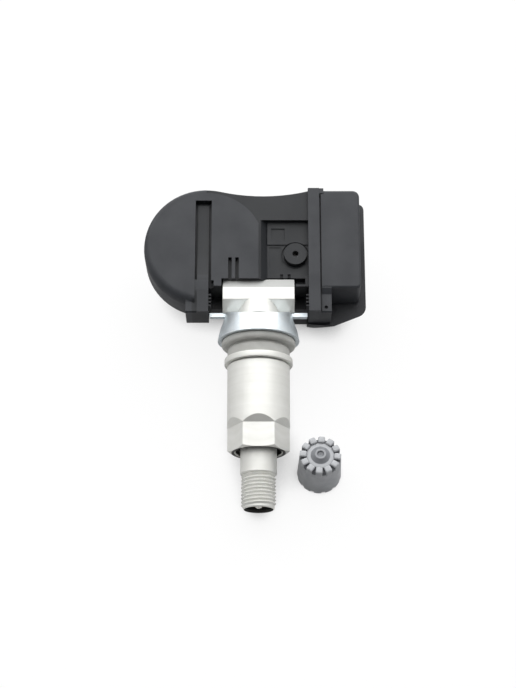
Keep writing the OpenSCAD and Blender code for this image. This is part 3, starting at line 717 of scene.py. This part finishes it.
def buildPads():
    top, low, inner, outer = cap["height"], cap["padFrom"], cap["padIn"], cap["padOut"]
    pads = addBox((outer - inner, cap["padWidth"], top - low),
                  ((outer + inner) / 2, 0, (top + low) / 2))
    editAll(pads)
    chooseVerts(pads, lambda x, y, z: z < top - 1)
    bpy.ops.transform.translate(value=(cap["padLean"], 0, 0))
    bpy.ops.object.mode_set(mode="OBJECT")
    applyModifier(pads, "BEVEL", width=cap["padRound"], segments=4, limit_method="ANGLE",
                  angle_limit=math.radians(30), affect="EDGES")
    ringOfCopies(pads, cap["padCount"], cap["padTurn"])
    return pads


def buildCap():
    floor, foot = cap["floorAt"], cap["footRadius"]
    coneEnd = floor + cap["coneHeight"]
    dimpleEnd = coneEnd - cap["dimpleDepth"]
    body = turnedPiece("valveCapMoulded", [
        (foot - 0.12, 0.0), (foot, 0.12), (cap["sideRadius"], cap["sideTo"]),
        (cap["slotRadius"] + 0.25, floor - 0.95), (cap["slotRadius"], floor - 0.5),  # slots
        (cap["padIn"] + 0.2, floor - 0.35), (cap["padIn"] + 0.1, floor),
        (cap["coneRadius"], floor), (cap["coneTop"] + 0.06, coneEnd - 0.05),  # cone
        (cap["coneTop"], coneEnd), (cap["dimple"], coneEnd),
        (cap["dimple"] - 0.15, dimpleEnd), (0.05, dimpleEnd),  # dimple in the cone
        (0.05, cap["boreTo"]), (cap["bore"], cap["boreTo"]), (cap["bore"], 0.0)], 96)
    pads = buildPads()
    notches = addBox((cap["notchDepth"] * 2, cap["notchWidth"], cap["notchHeight"] * 2),
                     (foot, 0, 0))
    ringOfCopies(notches, cap["padCount"], cap["padTurn"] + 180 / cap["padCount"])
    merge(body, notches, "DIFFERENCE")
    roundEdges(body, cap["edge"], 2, 35)
    joinTo(body, pads)
    putInPlace(body, capPlace, capPlastic, "root", ["valve_cap"])


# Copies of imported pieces; widths and radii are in mm, angles in degrees

copied = {
    "mergeWithin": 0.002, "flatWithin": 0.8, "edgeAngle": 26,
    "nutEdge": 0.1, "housingEdge": 0.13, "baseEdge": 0.25, "nutBore": 5.2,
}


def startCopy(node, name):
    # Stays in edit mode with everything selected
    piece = bpy.data.objects.new(name, frame["nodes"][node].data.copy())
    bpy.context.scene.collection.objects.link(piece)
    editAll(piece)
    bpy.ops.mesh.remove_doubles(threshold=copied["mergeWithin"] * mm)
    return piece


def softCopy(node, name, edge, material, body):
    # Edges are rounded as moulding or tumbling leaves them
    piece = startCopy(node, name)
    bpy.ops.mesh.dissolve_limited(angle_limit=math.radians(copied["flatWithin"]))
    bpy.ops.object.mode_set(mode="OBJECT")
    roundEdges(piece, edge * mm, angle=copied["edgeAngle"])
    putInPlace(piece, Matrix.Identity(4), material, body, [node])
    return piece


def buildNut():
    piece = softCopy("sleeve_nut", "sleeveNutMilled", copied["nutEdge"], satinAluminium,
                     "nut")
    # Painted shade inside the bore of the nut
    paintFaces(piece, paintedShadeBore, inBore(copied["nutBore"], 0))


def buildHousingAndBase():
    softCopy("housing", "housingMoulded", copied["housingEdge"], housingPlastic,
             "root")
    softCopy("base", "baseMoulded", copied["baseEdge"], basePlastic, "root")


def buildSpring():
    # The coil of the valve core, which shortens between its seat and the shoulder of the pin, is
    # copied with a mesh of its own
    piece = startCopy("core_spring", "coreSpringCoil")
    bpy.ops.object.mode_set(mode="OBJECT")
    putInPlace(piece, Matrix.Identity(4), springSteel, "valve", ["core_spring"])
    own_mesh(piece)


buildStem()
buildGrommet()
buildCollar()
buildWasher()
buildCap()
buildNut()
buildHousingAndBase()
buildSpring()
print("modelled pieces built")


# Floor, light and camera

paper = {
    "size": 3.0, "grey": 0.9, "roughness": 0.9, "contact": 8.0, "contactSamples": 12,
    "darkest": 0.15, "darkAt": 0.1, "clearAt": 0.62, "seen": 0.89,
    "mirrorLevel": 0.3, "mirrorShare": 0.7,
}


def buildFloor():
    # White where it lies open to the camera, with a painted contact shadow from ambient occlusion
    # close to the object, and dim in mirrors
    bpy.ops.object.select_all(action="DESELECT")
    bpy.ops.mesh.primitive_grid_add(x_subdivisions=8, y_subdivisions=8, size=paper["size"],
                                    location=(0, 0, 0))
    floor = bpy.context.object
    floor.name = "studioFloor"
    material = bpy.data.materials.new("studioPaper")
    material.use_nodes = True
    tree = material.node_tree
    shader = tree.nodes["Principled BSDF"]
    shader.inputs["Base Color"].default_value = (paper["grey"], paper["grey"], paper["grey"], 1)
    shader.inputs["Roughness"].default_value = paper["roughness"]
    shader.inputs["Specular IOR Level"].default_value = 0.0
    glow = tree.nodes.new("ShaderNodeEmission")
    path = tree.nodes.new("ShaderNodeLightPath").outputs
    contact = tree.nodes.new("ShaderNodeAmbientOcclusion")
    contact.samples = paper["contactSamples"]
    contact.inputs["Distance"].default_value = paper["contact"] * mm
    # Painted contact shadow: the glow seen by the camera is dimmed by ambient occlusion
    level = mapRange(tree, contact.outputs["AO"], paper["darkest"], 1.0,
                     paper["darkAt"], paper["clearAt"])
    direct = path["Is Camera Ray"]
    mirrored = mathNode(tree, "MAXIMUM", path["Is Glossy Ray"], path["Is Transmission Ray"])
    strength = mathNode(tree, "ADD", mathNode(tree, "MULTIPLY", level, direct),
                        mathNode(tree, "MULTIPLY", mirrored, paper["mirrorLevel"]))
    share = mathNode(tree, "ADD", mathNode(tree, "MULTIPLY", direct, paper["seen"]),
                     mathNode(tree, "MULTIPLY", mirrored, paper["mirrorShare"]))
    tree.links.new(strength, glow.inputs["Strength"])
    mix = tree.nodes.new("ShaderNodeMixShader")
    tree.links.new(share, mix.inputs[0])
    tree.links.new(shader.outputs[0], mix.inputs[1])
    tree.links.new(glow.outputs[0], mix.inputs[2])
    tree.links.new(mix.outputs[0], tree.nodes["Material Output"].inputs["Surface"])
    floor.data.materials.append(material)


studio = {
    "front": 0.08, "frontAt": -0.9, "back": 0.64, "backAt": 0.5,
    "lights": [
        {"name": "topSoftbox", "place": (0.0, 0.26, 0.52), "aim": (0, 0, 0),
         "size": (1.1, 0.8), "power": 4.6},
        {"name": "backSoftbox", "place": (0.0, 0.75, 0.32), "aim": (0, 0, 0.01),
         "size": (1.2, 0.5), "power": 2.9},
        {"name": "leftFill", "place": (-0.6, 0.05, 0.30), "aim": (0, 0, 0.01),
         "size": (0.5, 0.5), "power": 0.3},
        {"name": "rightFill", "place": (0.6, 0.05, 0.30), "aim": (0, 0, 0.01),
         "size": (0.5, 0.5), "power": 0.3}],
}


def buildWorld():
    # Bright overhead and behind, darker on the camera's side, and white where the camera sees it
    world = bpy.data.worlds.new("studioWorld")
    world.use_nodes = True
    tree = world.node_tree
    background = tree.nodes["Background"]
    coordinates = tree.nodes.new("ShaderNodeTexCoord")
    x, y, z = splitVector(tree, coordinates.outputs["Generated"])
    path = tree.nodes.new("ShaderNodeLightPath").outputs
    level = mapRange(tree, y, studio["front"], studio["back"],
                     studio["frontAt"], studio["backAt"])
    tree.links.new(mathNode(tree, "MAXIMUM", level, path["Is Camera Ray"]),
                   background.inputs["Strength"])
    background.inputs["Color"].default_value = (1, 1, 1, 1)
    bpy.context.scene.world = world


def buildLight(name, place, aim, size, power):
    data = bpy.data.lights.new(name, "AREA")
    data.shape = "RECTANGLE"
    data.size, data.size_y = size
    data.energy = power
    lamp = bpy.data.objects.new(name, data)
    bpy.context.scene.collection.objects.link(lamp)
    lamp.location = place
    lamp.rotation_mode = "QUATERNION"
    lamp.rotation_quaternion = (Vector(aim) - Vector(place)).to_track_quat("-Z", "Y")


photoView = {
    "target": Vector((0.62, 0.973, 11.604)) * mm,
    "elevation": math.radians(58.96),
    "distance": 346.6 * mm,
    "focal": 1534.0,  # in pixels of the photo, like its long side
    "longSide": 688,
    "sensor": 36.0,
}


def buildCamera():
    data = bpy.data.cameras.new("photoCamera")
    data.sensor_fit = "AUTO"
    data.sensor_width = photoView["sensor"]
    data.lens = photoView["sensor"] * photoView["focal"] / photoView["longSide"]
    data.clip_start, data.clip_end = 0.01, 10.0
    camera = bpy.data.objects.new("photoCamera", data)
    bpy.context.scene.collection.objects.link(camera)
    away = Vector((0, -math.cos(photoView["elevation"]), math.sin(photoView["elevation"])))
    camera.location = photoView["target"] + away * photoView["distance"]
    camera.rotation_mode = "QUATERNION"
    camera.rotation_quaternion = (-away).to_track_quat("-Z", "Y")
    bpy.context.scene.camera = camera


buildFloor()
buildWorld()
for light in studio["lights"]:
    buildLight(**light)
buildCamera()
bpy.context.scene.view_settings.view_transform = "Standard"
print("stage built")

bpy.context.view_layer.update()
